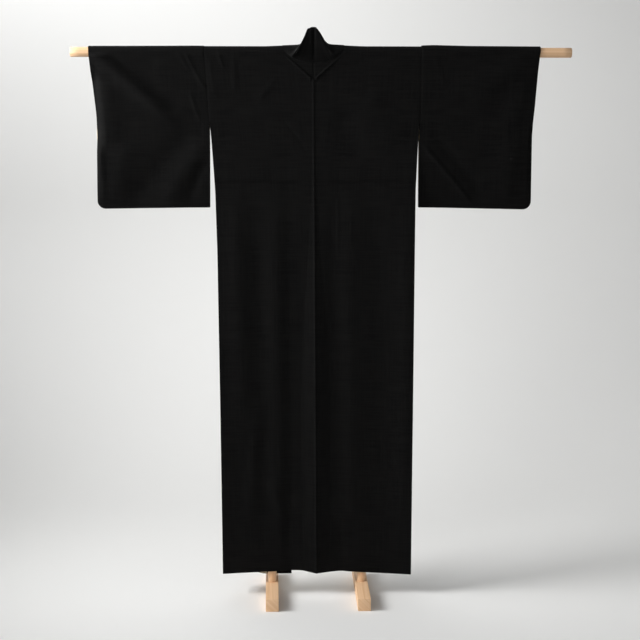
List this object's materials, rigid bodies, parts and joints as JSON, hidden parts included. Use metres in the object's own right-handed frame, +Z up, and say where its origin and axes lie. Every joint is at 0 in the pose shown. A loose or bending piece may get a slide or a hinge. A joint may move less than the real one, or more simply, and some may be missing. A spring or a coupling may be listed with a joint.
{
  "type": "tsumugi kimono on a wooden stand",
  "caption": "Lined plain-weave silk kimono in black, hung open by its sleeves and shoulders on the round rod of a plain wooden stand with square feet.",
  "frame": {"origin": "on the floor, below the middle of the rod, which is the middle of the footprint", "axes": "+Z up, +X along the rod to the right of someone who looks at the garment's back, -Y out of the garment's back"},
  "size_m": [1.525, 0.356, 1.7872],
  "materials": {
    "black_tsumugi": "slubby plain weave, soft low sheen",
    "cream_lining": "smooth plain weave",
    "stand_wood": "pale, oiled, fine straight grain"
  },
  "bodies": {
    "root": {"rod": "stand_wood", "post_left": "stand_wood", "post_right": "stand_wood", "foot_left": "stand_wood", "foot_right": "stand_wood", "back_left": "black_tsumugi", "front_left": "black_tsumugi", "back_right": "black_tsumugi", "front_right": "black_tsumugi", "sleeve_left": "black_tsumugi", "sleeve_right": "black_tsumugi", "okumi_left": "black_tsumugi", "okumi_right": "black_tsumugi", "collar": "black_tsumugi", "lining_left": "cream_lining", "lining_right": "cream_lining"}
  },
  "joints": []
}
